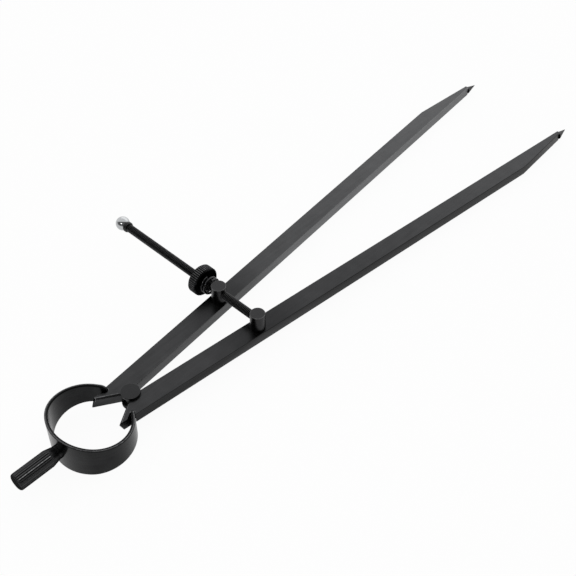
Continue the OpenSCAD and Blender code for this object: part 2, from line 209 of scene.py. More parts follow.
class ScrewSizes(bpy.types.PropertyGroup):
    """Sizes of the screw, its collar, its ball and the nut"""

    diameter: length("Diameter", "Diameter over the thread", 0.0042)
    pitch: length("Pitch", "Pitch of the thread", 0.0008)
    height: length("Height", "Height of the screw's axis above a leg's face", 0.0051)
    reach: length("Reach", "From the right post's axis to the ball's centre", 0.096)
    collar: length("Collar", "Diameter of the stop collar", 0.0055)
    collar_thickness: length("Collar thickness", "Thickness of the stop collar", 0.002)
    ball: length("Ball", "Diameter of the ball", 0.0072)
    ball_flat: length("Ball flat", "Diameter of the flat that the collar meets", 0.0042)
    nut: length("Nut", "Diameter of the nut", 0.015)
    nut_thickness: length("Nut thickness", "Thickness of the nut", 0.0052)
    nut_edge: length("Nut edge", "Chamfer of the nut's rim", 0.0006)
    nut_recess: length("Nut recess", "Diameter of the recess in the outer face", 0.009)
    nut_recess_depth: length("Recess depth", "Depth of that recess", 0.0005)
    nut_channel: length("Nut channel", "Outer diameter of the channel in the inner face", 0.0124)
    nut_grooves: count("Nut grooves", "Knurl grooves round the nut", 44)
    groove_width: length("Groove width", "Width of a knurl groove", 0.00066)
    spring: length("Spring", "Outside diameter of the nut's spring", 0.0094)
    wire: length("Wire", "Diameter of the spring's wire", 0.0013)
    spring_turns: count("Spring turns", "Turns of the spring", 2)
    turn_gap: length("Turn gap", "Open gap between two turns", 0.0005)


class FinishTones(bpy.types.PropertyGroup):
    """Colours of the finishes"""

    left: tone("Left leg", "Oxide black on the left leg", (0.053, 0.0535, 0.055))
    right: tone("Right leg", "Darker oxide on the right leg", (0.0375, 0.0378, 0.039))
    bow: tone("Bow", "Oxide black on the bow spring", (0.017, 0.0173, 0.0178))
    handle: tone("Handle", "Oxide black on the handle", (0.048, 0.0483, 0.049))
    ground: tone("Ground steel", "Ground inner edges of the legs", (0.090, 0.091, 0.093))
    stamped: tone("Stamped steel", "Stamped outer edges of the legs", (0.036, 0.0363, 0.0375))
    dark: tone("Dark steel", "Oiled steel of the screw, its collar and the points", (0.031, 0.031, 0.032))
    stud: tone("Stud", "Oiled steel of the stud", (0.034, 0.0343, 0.0352))
    post: tone("Posts", "Oiled steel of the posts", (0.036, 0.036, 0.037))
    nut: tone("Nut", "Oiled steel of the nut", (0.017, 0.017, 0.0176))
    wire: tone("Spring wire", "Drawn wire of the nut's spring", (0.050, 0.050, 0.052))
    grey: tone("Grey steel", "Plain steel of the washers", (0.20, 0.20, 0.205))
    chrome: tone("Chrome", "Plated ball", (0.50, 0.51, 0.52))
    worn: tone("Worn steel", "Steel that shows where edges are worn", (0.32, 0.322, 0.326))


class StageSettings(bpy.types.PropertyGroup):
    """Camera, light and floor"""

    camera: place("Camera", "Place of the camera", (-0.1607, -0.2463, 0.36475))
    azimuth: angle("Azimuth", "Turn of the camera round the object", -46.71576)
    elevation: angle("Elevation", "Height of the camera above the horizon", 45.59143)
    roll: angle("Roll", "Roll of the camera", 0.14022)
    lens: FloatProperty(name="Lens", description="Focal length on a 36 mm sensor", default=64.75,
                        unit="CAMERA")
    floor: tone("Floor", "Colour of the floor", (0.93, 0.93, 0.93))
    horizon: amount("Horizon", "Brightness of the room near the floor", 1.0)
    zenith: amount("Zenith", "Brightness of the room overhead", 0.92)
    sides: amount("Sides", "Brightness of the room beside the panel, as a share", 0.6)
    behind: amount("Behind", "The same where the photographer stands", 0.16)
    panel_rise: angle("Panel rise", "Height of the bright panel's middle, on the far side", 40)
    panel_reach: angle("Panel reach", "From the panel's middle to its edge", 71)
    paper_glow: amount("Paper glow", "How far the floor stays white in the object's shadow", 0.95)
    paper_shine: amount("Paper shine", "The same for the floor's reflection in the steel", 0.6)
    near_lamp: power("Near lamp", "Power of the small lamp on the left", 0.55)
    softbox: power("Softbox", "Power of the far softbox", 2.9)


class DividersSettings(bpy.types.PropertyGroup):
    """Everything that can be changed"""

    legs: PointerProperty(type=LegSizes)
    points: PointerProperty(type=PointSizes)
    stud: PointerProperty(type=StudSizes)
    bow: PointerProperty(type=BowSizes)
    handle: PointerProperty(type=HandleSizes)
    posts: PointerProperty(type=PostSizes)
    screw: PointerProperty(type=ScrewSizes)
    tones: PointerProperty(type=FinishTones)
    stage: PointerProperty(type=StageSettings)


def settings():
    return bpy.context.scene.dividers


# Places on the dividers


def leg_outer(x):
    """Outer edge of a leg, along its inner edge from the fulcrum."""
    legs = settings().legs
    bevel_x = legs.length - settings().points.length - legs.bevel_length
    return legs.gap / 2 + legs.width + (legs.bevel_width - legs.width) * x / bevel_x


def on_leg(side):
    """From a drawing along the inner edge to the left leg, or turned over to the right one."""
    over = Matrix.Rotation(math.pi, 4, "X") if side < 0 else Matrix()
    return Matrix.Translation((0, 0, LEG_MID_Z)) @ over @ Matrix.Rotation(settings().legs.spread, 4, "Z")


def post_on_leg():
    legs, posts = settings().legs, settings().posts
    return Vector((posts.position, (legs.gap / 2 + leg_outer(posts.position)) / 2, 0))


def on_post(side):
    """From a drawing on a post's axis, from the leg's face up, to its place."""
    spot = Matrix.Rotation(settings().legs.spread, 3, "Z") @ post_on_leg()
    return Matrix.Translation((spot.x, side * spot.y, LEG_HIGH.z))


def on_screw(side):
    """From a drawing along +Z to the screw's axis, outwards from a post."""
    lift = Matrix.Translation((0, 0, settings().screw.height))
    return on_post(side) @ lift @ Matrix.Rotation(-QUARTER_TURN, 4, "X")


def on_handle():
    """From a drawing along +Z to the handle's axis, outwards from the back of the bow."""
    spot = Matrix.Translation((-settings().bow.back_distance, 0, LEG_MID_Z))
    return spot @ Matrix.Rotation(-QUARTER_TURN, 4, "Y")


def along_screw():
    """Starts of the spring and nut from the left post, and of collar and ball from the right one."""
    screw, posts = settings().screw, settings().posts
    spring = posts.diameter / 2 + posts.clearance
    nut = spring + screw.spring_turns * (screw.wire + screw.turn_gap) + screw.wire + posts.clearance
    ball = screw.reach - math.sqrt(screw.ball ** 2 - screw.ball_flat ** 2) / 2
    return {"spring": spring, "nut": nut, "collar": ball - screw.collar_thickness, "ball": ball}


def bow_path():
    """Centres of the back and side arcs, and the start and direction of the left tail."""
    bow = settings().bow
    back = Vector((bow.back_radius - bow.back_distance, 0, LEG_MID_Z))
    step = bow.back_radius - bow.side_radius
    side = back + step * Vector((-math.cos(bow.blend_angle), math.sin(bow.blend_angle), 0))
    mid = bow.side_radius - bow.thickness / 2
    start = side + mid * Vector((math.cos(bow.end_angle), math.sin(bow.end_angle), 0))
    turn = bow.end_angle - QUARTER_TURN
    return back, side, start, Vector((math.cos(turn), math.sin(turn), 0))


def run_to_outer_edge(spot, heading):
    """How far a line drawn on a leg runs from a spot to the outer edge."""
    slope = leg_outer(1) - leg_outer(0)
    return (spot.y - leg_outer(spot.x)) / (slope * heading.x - heading.y)


def slot_on_leg():
    """Start and direction of the left tail, drawn along the leg, and its run to the outer edge."""
    turn = Matrix.Rotation(-settings().legs.spread, 3, "Z")
    start, heading = [turn @ each for each in bow_path()[2:]]
    start.z = 0
    return start, heading, run_to_outer_edge(start, heading)


# Materials


class Shade:
    """A socket of a material, on which arithmetic adds Math nodes."""

    def __init__(self, finish, socket):
        self.finish = finish
        self.socket = socket

    def math(self, operation, first, second):
        return self.finish.node("ShaderNodeMath", {"operation": operation}, {0: first, 1: second})

    def __add__(self, other):
        return self.math("ADD", self, other)

    def __sub__(self, other):
        return self.math("SUBTRACT", self, other)

    def __rsub__(self, other):
        return self.math("SUBTRACT", other, self)

    def __mul__(self, other):
        return self.math("MULTIPLY", self, other)

    __radd__ = __add__
    __rmul__ = __mul__


class Finish:
    """A node tree that is built one node at a time."""

    def __init__(self, owner):
        owner.use_nodes = True
        self.owner = owner
        self.tree = owner.node_tree
        self.tree.nodes.clear()

    def node(self, kind, options=None, inputs=None, output=0):
        made = self.tree.nodes.new(kind)
        for name, value in (options or {}).items():
            setattr(made, name, value)
        for name, value in (inputs or {}).items():
            if isinstance(value, Shade):
                self.tree.links.new(value.socket, made.inputs[name])
            else:
                made.inputs[name].default_value = value
        return Shade(self, made.outputs[output] if len(made.outputs) else None)

    def noise(self, vector, scale, detail=2.0, roughness=0.5):
        return self.node("ShaderNodeTexNoise", None,
                         {"Vector": vector, "Scale": scale, "Detail": detail, "Roughness": roughness})

    def between(self, value, low, high, to_low=0.0, to_high=1.0):
        return self.node("ShaderNodeMapRange", {"interpolation_type": "SMOOTHSTEP"},
                         {"Value": value, "From Min": low, "From Max": high,
                          "To Min": to_low, "To Max": to_high})

    def mix(self, factor, first, second):
        return self.node("ShaderNodeMix", {"data_type": "RGBA"}, {0: factor, 6: first, 7: second}, 2)

    def spot(self):
        return self.node("ShaderNodeTexCoord", None, None, "Object")

    def long_grain(self, turn, scale):
        """Fine lines of a brushed surface, stretched along one direction."""
        along = self.node("ShaderNodeMapping", None,
                          {"Vector": self.spot(), "Rotation": turn, "Scale": scale})
        return self.noise(along, scale=900.0, detail=5.0, roughness=0.65)

    def leg_grain(self, side):
        """Lines along a leg."""
        return self.long_grain((0, 0, -side * settings().legs.spread), (0.03, 1, 1))

    def lathe_grain(self, axis):
        """Fine rings of a turned surface round the +Z of a matrix."""
        back = axis.inverted()
        inside = self.node("ShaderNodeMapping", None,
                           {"Vector": self.spot(), "Location": back.to_translation(),
                            "Rotation": back.to_euler()})
        height = self.node("ShaderNodeSeparateXYZ", None, {0: inside}, 2)
        flat = self.node("ShaderNodeVectorMath", {"operation": "MULTIPLY"}, {0: inside, 1: (1, 1, 0)})
        radius = self.node("ShaderNodeVectorMath", {"operation": "LENGTH"}, {0: flat}, "Value")
        return self.node("ShaderNodeTexNoise", {"noise_dimensions": "1D"},
                         {"W": radius + height, "Scale": 3800.0, "Detail": 3.0, "Roughness": 0.6})

    def along(self, near, far, at_near, at_far):
        """A value that changes along the dividers, from one distance to another."""
        distance = self.node("ShaderNodeSeparateXYZ", None, {0: self.spot()}, 0)
        return self.between(distance, near, far, at_near, at_far)

    def steel(self, tone, grain, roughness, cloud=0.16, wear=0.45, brushed=0.5, fade=1.0, glare=1.0):
        """Steel with clouds in its colour, fine brushing, pits, worn edges, painted highlights where marked,
        and painted shade in grooves and along marked edges.
        """
        deepest_soil, speck_share, least_rub, full_rub = 0.85, 0.12, 0.2, 0.7
        cloud_rough, grain_rough, rub_smooth = 0.14, 0.3, 0.08
        colour, spot = getattr(settings().tones, tone), self.spot()
        clouds = self.noise(spot, scale=140.0, detail=4.0, roughness=0.55)
        specks = self.noise(spot, scale=2600.0, detail=2.0, roughness=0.6)
        scuffs = self.noise(spot, scale=900.0, detail=4.0, roughness=0.65)
        edge = self.node("ShaderNodeAttribute", {"attribute_name": WEAR}, None, "Fac")
        # Marks above zero mix in the worn tone: wear, and a painted highlight where a piece marks one.
        rub = self.between(edge, 0.0, 1.0) * self.between(scuffs, least_rub, full_rub) * wear
        # Marks below zero darken the colour: painted shade.
        soil = self.between(edge, -1.0, 0.0, deepest_soil, 0.0)
        cloudy, brushing = clouds - 0.5, grain - 0.5
        lift = 1.0 + cloudy * (2.0 * cloud) + brushing * brushed + (specks - 0.5) * speck_share
        plain = self.mix(lift * (1.0 - soil) * fade * 0.5, rgba(colour, 0.0), rgba(colour, 2.0))
        shown = self.mix(rub, plain, rgba(settings().tones.worn))
        rough = roughness + cloudy * cloud_rough + brushing * (grain_rough * brushed) - rub * rub_smooth
        height = specks * 0.5 + grain * brushed
        bump = self.node("ShaderNodeBump", None, {"Strength": 0.22, "Distance": 0.00003, "Height": height})
        shader = self.node("ShaderNodeBsdfPrincipled", None,
                           {"Base Color": shown, "Metallic": 1.0, "Roughness": rough, "Normal": bump,
                            "Specular Tint": (glare, glare, glare, 1.0)})
        self.node("ShaderNodeOutputMaterial", None, {"Surface": shader})
        return self.owner


def rgba(colour, scale=1.0):
    return (colour[0] * scale, colour[1] * scale, colour[2] * scale, 1.0)


def new_finish(name):
    return Finish(bpy.data.materials.new(name))


def leg_steel(name, side):
    """Black steel, brushed along a leg, with painted shade round its post and a painted sheen that pales it
    towards its point.
    """
    head_end, post_near, post_far, past_post, middle, bevel = 0.03, 0.06, 0.072, 0.1, 0.12, 0.28
    head_tone, point_tone, oil_depth = (0.87 if side > 0 else 1.18), 1.32, 0.36
    finish = new_finish(name + "_leg_steel")
    # Painted shade round the post, standing in for the shadow and dark reflection of the post and screw.
    oil = finish.along(head_end, post_near, 0.0, 1.0) * finish.along(post_far, past_post, 1.0, 0.0)
    head = finish.along(head_end, middle, head_tone, 1.0)
    # The rise towards the point is a painted sheen.
    fade = head * finish.along(past_post, bevel, 1.0, point_tone) - oil * oil_depth
    return finish.steel(name, finish.leg_grain(side), roughness=0.31, cloud=0.22, wear=0.9, brushed=0.45,
                        fade=fade)


def edge_steel(name, side, kind, at_head, at_point, **looks):
    """Steel of a leg's inner or outer edge, whose tone changes past the posts."""
    finish = new_finish(name + "_" + kind + "_steel")
    fade = finish.along(0.08, 0.12, at_head, at_point)
    return finish.steel(kind, finish.leg_grain(side), fade=fade, **looks)


def ground_steel(name, side):
    """Brighter steel of a ground inner edge, brightest past the posts."""
    return edge_steel(name, side, "ground", 1.0, 1.6, roughness=0.36, cloud=0.12, wear=0.3, brushed=1.4)


def stamped_steel(name, side):
    """Black steel of a stamped outer edge, darkest past the posts."""
    return edge_steel(name, side, "stamped", 1.2, 0.8, roughness=0.31, cloud=0.22, wear=0.2, brushed=0.45)


def band_steel(name):
    """Black spring steel, rolled along the band."""
    finish = new_finish(name)
    grain = finish.long_grain((0, 0, 0), (0.04, 0.04, 1))
    return finish.steel("bow", grain, roughness=0.22, cloud=0.6, wear=0.35, brushed=0.8)


def turned_steel(name, tone, axis, roughness=0.3, **looks):
    """Steel turned on a lathe, with rings round its axis."""
    finish = new_finish(name)
    return finish.steel(tone, finish.lathe_grain(axis), roughness, **looks)


# Shaping


def new_mesh():
    """An empty mesh whose points can be marked as worn, as painted highlights or as painted shade."""
    bm = bmesh.new()
    bm.verts.layers.float.new(WEAR)
    return bm


def everything(bm):
    return bm.verts[:] + bm.edges[:] + bm.faces[:]


def only(items, kind):
    return [item for item in items if isinstance(item, kind)]


def clean(bm):
    bmesh.ops.remove_doubles(bm, verts=bm.verts[:], dist=MERGE)
    bmesh.ops.recalc_face_normals(bm, faces=bm.faces[:])


def push(bm, geom, offset):
    """Extrudes faces by an offset, and returns what was added."""
    added = bmesh.ops.extrude_face_region(bm, geom=geom)["geom"]
    bmesh.ops.translate(bm, vec=offset, verts=only(added, bmesh.types.BMVert))
    return added


def cut_off(bm, spot, normal):
    """Cuts away what lies beyond a plane, and closes the cut."""
    cut = bmesh.ops.bisect_plane(bm, geom=everything(bm), dist=MERGE, plane_co=spot, plane_no=normal,
                                 clear_outer=True)["geom_cut"]
    bmesh.ops.holes_fill(bm, edges=only(cut, bmesh.types.BMEdge), sides=0)
    clean(bm)


def turn_outline(bm, points, steps):
    """Spins an outline of radius and height a full turn about +Z."""
    verts = [bm.verts.new((radius, 0, height)) for radius, height in points]
    edges = [bm.edges.new(pair) for pair in zip(verts, verts[1:])]
    bmesh.ops.spin(bm, geom=verts + edges, cent=(0, 0, 0), axis=(0, 0, 1), angle=FULL_TURN, steps=steps,
                   use_merge=True)
    clean(bm)
    poles = [vert for vert in bm.verts if vert.co.xy.length < MERGE]
    bmesh.ops.dissolve_verts(bm, verts=poles)


def sharp_edges(bm, least=30, where=None):
    """Edges that bend by more than some degrees, and whose ends both pass a test."""
    limit = math.radians(least)
    sharp = [edge for edge in bm.edges if edge.is_manifold and edge.calc_face_angle() > limit]
    return [edge for edge in sharp if where is None or all(where(vert.co) for vert in edge.verts)]


def break_edges(bm, edges, width, segments=2):
    """Rounds edges, and marks the middle of each round as worn."""
    rounds = set(bmesh.ops.bevel(bm, geom=edges, offset=width, offset_type="OFFSET", affect="EDGES",
                                 segments=segments, profile=0.5, material=-1,
                                 clamp_overlap=False)["faces"])
    wear = bm.verts.layers.float[WEAR]
    for vert in bm.verts:
        if vert.link_faces and all(face in rounds for face in vert.link_faces):
            vert[wear] = 1.0


def cut_grooves(bm, number, radius, width, low):
    """Presses V grooves into a turned rim above a height, with painted shade at their bottoms and wear on
    their crests.
    """
    wear = bm.verts.layers.float[WEAR]
    soiled, crest = width / 8, 0.99 * radius
    for vert in bm.verts:
        reach = math.hypot(vert.co.x, vert.co.y)
        if vert.co.z < low or reach < radius / 2:
            continue
        turn = math.atan2(vert.co.y, vert.co.x) * number / FULL_TURN
        off = abs(turn - math.floor(turn) - 0.5) * FULL_TURN / number * reach
        deep = min(reach, radius - max(0.0, width / 2 - off))
        # Groove bottoms get painted shade.
        if off < soiled:
            vert[wear] = -1.0
        else:
            vert[wear] = 1.0 if off > width / 2 and reach > crest else 0.0
        vert.co.x *= deep / reach
        vert.co.y *= deep / reach


def move(bm, matrix):
    bmesh.ops.transform(bm, matrix=matrix, verts=bm.verts[:])


def mesh_of(bm, name):
    mesh = bpy.data.meshes.new(name)
    bm.to_mesh(mesh)
    bm.free()
    return mesh


def place_object(name, data):
    made = bpy.data.objects.new(name, data)
    bpy.context.scene.collection.objects.link(made)
    return made


def add_piece(bm, name, finishes, smooth=40):
    """Makes a mesh object of a finished shape, with its flat faces shaded flat."""
    for face in bm.faces:
        face.smooth = True
    mesh = mesh_of(bm, name)
    mesh.set_sharp_from_angle(angle=math.radians(smooth))
    for finish in finishes:
        mesh.materials.append(finish)
    return place_object(name, mesh)


def carry(piece, body, slot, *nodes, even=True):
    """Parents a piece to its body and hides the nodes that it replaces, after its shading is evened; its slot
    is not used.
    """
    if even:
        shade = piece.modifiers.new("Even shading", "WEIGHTED_NORMAL")
        shade.keep_sharp = True
    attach(piece, body)
    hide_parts(*nodes)


def bore(piece, matrix, radius, low, high):
    """Cuts a round hole along +Z of a matrix through a piece."""
    bm = bmesh.new()
    bmesh.ops.create_cone(bm, cap_ends=True, segments=64, radius1=radius, radius2=radius, depth=high - low)
    move(bm, matrix @ Matrix.Translation((0, 0, (low + high) / 2)))
    tool = place_object("bore", mesh_of(bm, "bore"))
    cut = piece.modifiers.new("Bore", "BOOLEAN")
    cut.object = tool
    cut.operation = "DIFFERENCE"
    cut.solver = "EXACT"
    graph = bpy.context.evaluated_depsgraph_get()
    bored = bpy.data.meshes.new_from_object(piece.evaluated_get(graph))
    piece.modifiers.clear()
    spent = [piece.data, tool.data]
    piece.data = bored
    bpy.data.objects.remove(tool)
    for mesh in spent:
        bpy.data.meshes.remove(mesh)


# Operators


class BuildOperator(bpy.types.Operator):
    """Common ground of the operators below"""

    bl_options = {"REGISTER", "UNDO"}

    def execute(self, context):
        self.build()
        return {"FINISHED"}


class DIVIDERS_OT_legs(BuildOperator):
    """Builds the two legs, one stamping turned over for the right side"""

    bl_idname = "dividers.legs"
    bl_label = "Legs"

    # Finishes after the plain one, the painted shade on edges and heads, and how worn the shank's edges are
    ground, stamped = 1, 2
    bevel_soil, low_bevel_soil, edge_soil, head_soil, shank_wear = -0.9, -0.5, -0.6, -0.7, 0.4

    def to_outer_edge(self, spot, heading):
        """Where a line from a spot meets the outer edge."""
        return spot + heading * run_to_outer_edge(spot, heading)

    def slot_corners(self):
        """The slot's corners on the upper face, and where its flared corner lies on the lower one."""
        legs = settings().legs
        start, heading, run = slot_on_leg()
        across = Vector((-heading.y, heading.x, 0))
        half_slot = across * legs.slot_width / 2
        deep = start + (run + legs.slot_depth) * heading
        flare = -heading * math.cos(legs.slot_flare) - across * math.sin(legs.slot_flare)
        corners = [self.to_outer_edge(start + half_slot, heading), deep + half_slot, deep - half_slot,
                   self.to_outer_edge(deep - half_slot, flare)]
        return corners, self.to_outer_edge(start - half_slot, heading)

    def head_outline(self):
        """The head from the outer edge round slot, tooth and notch, and its tooth and inner corner."""
        legs = settings().legs
        inner = legs.gap / 2
        back = Vector((-math.cos(legs.head_angle), math.sin(legs.head_angle), 0))
        corner = Vector((-legs.head_setback, inner, 0))
        tooth = self.to_outer_edge(corner, back)
        across = corner.dot(back)
        reach = -across + math.sqrt(across ** 2 - corner.length_squared + legs.notch ** 2)
        first = corner + back * reach
        from_turn = math.atan2(first.y, first.x)
        to_turn = math.asin(inner / legs.notch)
        steps = 24
        notch = []
        for step in range(steps + 1):
            turn = from_turn + (to_turn - from_turn) * step / steps
            notch.append(Vector((legs.notch * math.cos(turn), legs.notch * math.sin(turn), 0)))
        return self.slot_corners()[0] + [tooth] + notch, tooth, corner

    def plate(self, head):
        """The flat bar with its post hole, before its edges are shaped."""
        legs, posts = settings().legs, settings().posts
        inner, post = legs.gap / 2, post_on_leg()
        end_x = legs.length - settings().points.length
        bm = new_mesh()
        ring = bmesh.ops.create_circle(bm, segments=32, radius=posts.stem / 2 + posts.clearance,
                                       matrix=Matrix.Translation(post))["verts"]
        ring.sort(key=lambda v: math.atan2(v.co.y - post.y, v.co.x - post.x + 1e-12) % FULL_TURN)
        top, bottom = 8, 24
        low = bm.verts.new((post.x, inner, 0))
        high = bm.verts.new((post.x, leg_outer(post.x), 0))
        near = [bm.verts.new(point) for point in head]
        far = [bm.verts.new((x, y, 0)) for x, y in
               ((end_x, inner), (end_x, inner + legs.end_width),
                (end_x - legs.bevel_length, inner + legs.bevel_width))]
        bm.faces.new(near + [low] + ring[bottom:top - 1:-1] + [high])
        bm.faces.new([low] + far + [high] + ring[top::-1] + ring[:bottom - 1:-1])
        move(bm, Matrix.Translation((0, 0, -legs.thickness / 2)))
        push(bm, everything(bm), (0, 0, legs.thickness))
        clean(bm)
        return bm

    def lean_slot(self, bm, side):
        """Sets the flared corner straight on the lower face, so that the slot's wall leans."""
        slot, straight = self.slot_corners()

        def corner_at(spot, face):
            same = [vert for vert in bm.verts if (vert.co.xy - spot.xy).length < MERGE]
            return [vert for vert in same if vert.co.z * face > 0][0]

        low, deep = corner_at(slot[3], -side), corner_at(slot[2], side)
        low.co.xy = straight.xy
        wall = [face for face in low.link_faces if deep in face.verts][0]
        bmesh.utils.face_split(wall, low, deep)

    def name_finishes(self, bm):
        """Sets the finish of the ground inner edge and of the stamped outer one."""
        facing = 0.9
        for face in bm.faces:
            if face.normal.y < -facing and face.calc_center_median().x > 0:
                face.material_index = self.ground
            elif face.normal.y > facing:
                face.material_index = self.stamped

    def mark_wear(self, bm, side):
        """Paints shade on the outer edge, its bevel and the heads' lower half, and wears the shank's edges.
        """
        legs = settings().legs
        wear = bm.verts.layers.float[WEAR]
        end_x = legs.length - settings().points.length
        end_y = legs.gap / 2 + legs.end_width
        bevel_x = end_x - 1.01 * legs.bevel_length
        bevel_slope = (legs.bevel_width - legs.end_width) / legs.bevel_length
        for vert in bm.verts:
            x, y, z = vert.co
            upper = z * side > 0
            outer = y > min(leg_outer(x), end_y + (end_x - x) * bevel_slope) - 0.9 * legs.edge
            # The outer edge, its bevel and the heads' lower half get painted shade.
            if outer and x > bevel_x:
                vert[wear] = self.bevel_soil if upper else self.low_bevel_soil
            elif outer and upper:
                vert[wear] = self.edge_soil
            elif z * side < 0 and x < -legs.notch:
                vert[wear] = self.head_soil
            elif -legs.notch < x < bevel_x and vert[wear] > 0:
                vert[wear] = self.shank_wear

    def stamp(self, side):
        legs = settings().legs
        half = legs.thickness / 2
        head, tooth, corner = self.head_outline()
        bm = self.plate(head)
        self.lean_slot(bm, side)
        lean = math.atan2(legs.tooth_lean, legs.thickness)
        cut_off(bm, (tooth.x, tooth.y, -half), (-math.cos(lean), 0, math.sin(lean)))
        outward = Vector((-math.sin(legs.head_angle), -math.cos(legs.head_angle), 0))
        upward = Vector((0, 0, side))
        cut_off(bm, corner + upward * half - outward * legs.head_chamfer, outward + upward)
        self.name_finishes(bm)
        break_edges(bm, sharp_edges(bm), legs.edge)
        self.mark_wear(bm, side)
        clean(bm)
        move(bm, on_leg(side))
        return bm

    def build(self):
        for name, side in SIDES.items():
            finishes = [finish(name, side) for finish in (leg_steel, ground_steel, stamped_steel)]
            piece = add_piece(self.stamp(side), name + "_leg_bar", finishes)
            carry(piece, name + "_leg", "black_steel", name + "_leg")


class DIVIDERS_OT_points(BuildOperator):
    """Builds the two points, each a leaning cone set in its leg's end"""

    bl_idname = "dividers.points"
    bl_label = "Points"

    def build(self):
        legs, points = settings().legs, settings().points
        inside = 0.001
        swell = points.diameter / 2 + (points.diameter - points.tip) / 2 * inside / points.length
        outline = [(0, -inside), (swell, -inside), (points.tip / 2, points.length), (0, points.length)]
        base = Vector((legs.length - points.length, legs.gap / 2 + legs.end_width / 2, 0))
        lean = Matrix.Rotation(-math.atan2(points.lean, points.length), 4, "Z")
        stand = Matrix.Translation(base) @ lean @ Matrix.Rotation(QUARTER_TURN, 4, "Y")
        for name, side in SIDES.items():
            bm = new_mesh()
            turn_outline(bm, outline, steps=48)
            move(bm, stand)
            cut_off(bm, base, (-1, 0, 0))
            move(bm, on_leg(side))
            finish = turned_steel(name + "_point_steel", "dark", on_leg(side) @ stand)
            piece = add_piece(bm, name + "_point_cone", [finish])
            carry(piece, name + "_leg", "black_steel", name + "_point", even=False)


class DIVIDERS_OT_stud(BuildOperator):
    """Builds the flanged stud that the legs turn on"""

    bl_idname = "dividers.stud"
    bl_label = "Fulcrum stud"

    def build(self):
        stud = settings().stud
        low, high = stud.flange_thickness, stud.height - stud.flange_thickness
        shank, flange = stud.shank / 2, stud.flange / 2
        outline = [(0, 0), (flange, 0), (flange, low), (shank, low), (shank, high), (flange, high),
                   (flange, stud.height), (0, stud.height)]
        bm = new_mesh()
        turn_outline(bm, outline, steps=96)
        rims = sharp_edges(bm, where=lambda spot: spot.xy.length > (shank + flange) / 2)
        break_edges(bm, rims, stud.edge)
        move(bm, Matrix.Translation((0, 0, STUD_LOW.z)))
        finish = turned_steel("stud_steel", "stud", Matrix(), roughness=0.33, wear=0.12)
        piece = add_piece(bm, "stud_spool", [finish])
        carry(piece, "frame", "dark_steel", "fulcrum_stud")


class DIVIDERS_OT_bow(BuildOperator):
    """Builds the bow spring as two bands that meet at the back, each bending with its leg"""

    bl_idname = "dividers.bow"
    bl_label = "Bow spring"

    # How dark the inner edges are painted, a painted shade, and how bright the outer ones, a painted
    # highlight
    inner_soil, outer_wear = -0.7, 0.9
    back_steps, side_steps, tail_steps = 50, 90, 20

    def section(self, bm, centre):
        """The band's rounded section at its back, with painted shade on its inner edges and a painted
        highlight on its outer ones, as low as the tails.
        """
        bow = settings().bow
        half, end_half = bow.thickness / 2, bow.end_height / 2
        corners = ((-half, -end_half), (half, -end_half), (half, end_half), (-half, end_half))
        bm.faces.new([bm.verts.new(centre + Vector((x, 0, z))) for x, z in corners])
        bmesh.ops.bevel(bm, geom=bm.verts[:], offset=bow.edge, offset_type="OFFSET", affect="VERTICES",
                        segments=4, profile=0.5, material=-1, clamp_overlap=False)
        wear = bm.verts.layers.float[WEAR]
        for vert in bm.verts:
            depth = end_half - abs(vert.co.z - LEG_MID_Z)
            # Inner edges get painted shade; the outer rim gets a painted highlight.
            if vert.co.x > centre.x and depth < 0.95 * bow.edge:
                vert[wear] = self.inner_soil
            elif depth < 0.1 * bow.edge:
                vert[wear] = self.outer_wear

    def band(self):
        """The left half of the band, swept from the back to its tail and then widened."""
        bow, legs = settings().bow, settings().legs
        back, side, start, heading = bow_path()
        half, end_half = bow.thickness / 2, bow.end_height / 2
        bm = new_mesh()
        self.section(bm, Vector((-bow.back_distance + half, 0, LEG_MID_Z)))
        swept = everything(bm)
        for middle, swing, steps in (
                (back, bow.blend_angle, self.back_steps),
                (side, math.pi - bow.blend_angle - bow.end_angle, self.side_steps)):
            swept = bmesh.ops.spin(bm, geom=swept, cent=middle, axis=(0, 0, -1), angle=swing,
                                   steps=steps)["geom_last"]
        tail = slot_on_leg()[2] + legs.slot_depth - bow.end_gap
        for step in range(self.tail_steps):
            swept = push(bm, swept, heading * tail / self.tail_steps)
        for level in (1, -1):
            bmesh.ops.bisect_plane(bm, geom=everything(bm), dist=MERGE,
                                   plane_co=(0, 0, LEG_MID_Z + level * (end_half - 2 * bow.edge)),
                                   plane_no=(0, 0, 1))
        clean(bm)
        front = start.x + half * math.cos(bow.end_angle)
        corner = (bow.end_height - legs.thickness) / 2
        for vert in bm.verts:
            reach = max(0.0, (front - vert.co.x) / (bow.back_distance + front))
            grow = (bow.back_height - bow.end_height) / 2 * reach ** bow.hollow
            past = (vert.co - start).dot(heading) - (tail - corner)
            if vert.co.x > start.x and past > 0:
                grow = math.sqrt(max(0.0, corner ** 2 - past ** 2)) - corner
            vert.co.z += grow if vert.co.z > LEG_MID_Z else -grow
        return bm

    def build(self):
        finish = band_steel("bow_steel")
        for name, side in SIDES.items():
            bm = self.band()
            if side < 0:
                move(bm, Matrix.Scale(-1, 4, (0, 1, 0)))
                clean(bm)
            piece = add_piece(bm, "bow_band_" + name, [finish])
            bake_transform(piece, "frame", name + "_leg", start=(-0.0385, side * 0.012, LEG_MID_Z),
                     end=(-0.008, side * 0.008, LEG_MID_Z))
            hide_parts("bow_spring")


